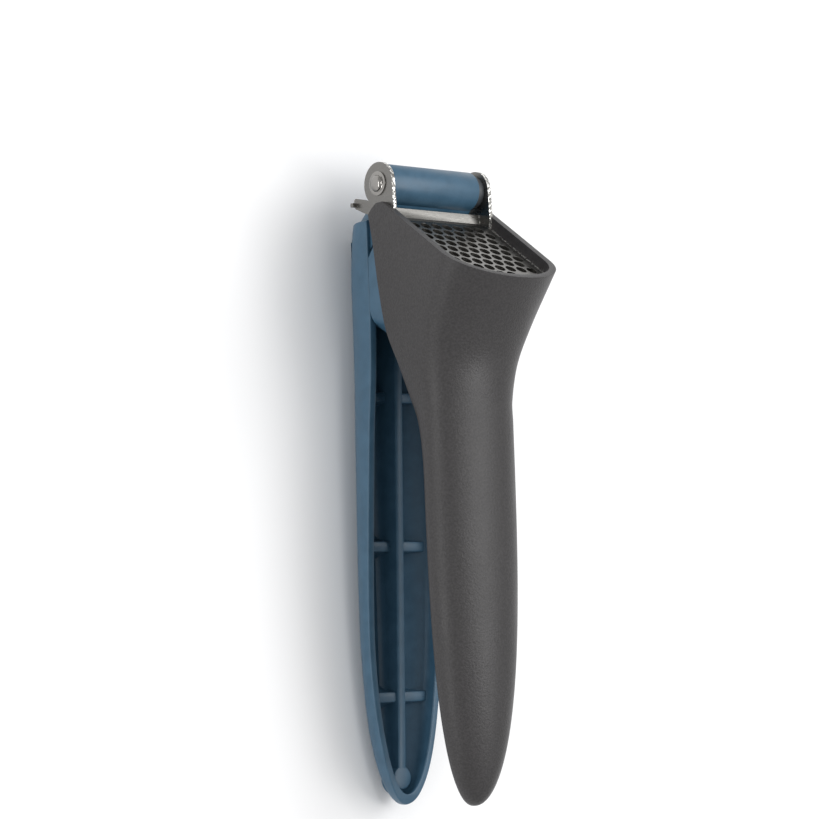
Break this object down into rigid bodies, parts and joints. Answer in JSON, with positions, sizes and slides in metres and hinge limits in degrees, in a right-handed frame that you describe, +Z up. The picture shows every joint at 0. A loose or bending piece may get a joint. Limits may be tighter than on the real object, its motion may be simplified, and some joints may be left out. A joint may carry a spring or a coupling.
{
  "type": "garlic press",
  "caption": "Two-handle lever garlic press: grey moulded handle with a scoop head over a perforated steel basket, blue lever handle with a plunger, hinged at the top.",
  "frame": {"origin": "centre of the bottom of the bounding box, on the flat land of the lever's back", "axes": "+Y from the handle tips to the hinge end, +Z up through the front of the chamber handle, +X along the hinge pin"},
  "size_m": [0.041, 0.1805, 0.0655],
  "materials": {
    "grey_nylon": "fine spark texture",
    "blue_nylon": "satin",
    "stainless": "rolled sheet",
    "pin_steel": "polished",
    "washer_nylon": "plain"
  },
  "bodies": {
    "lever": {"lever_handle": "blue_nylon", "hinge_sleeve": "stainless", "plunger_block": "blue_nylon", "plunger_face": "stainless", "plunger_face_rivets": "pin_steel", "plunger_screws": "pin_steel"},
    "chamber": {"chamber_handle": "grey_nylon", "strainer_basket": "stainless", "hinge_pin": "pin_steel", "pin_end_washer": "stainless", "spacer_washer": "washer_nylon"}
  },
  "joints": [
    {"name": "handle_hinge", "type": "hinge", "parent": "lever", "child": "chamber", "pos_m": [0, 0.0842, 0.0275], "axis": [-1, 0, 0], "range_deg": [0, 100]}
  ]
}
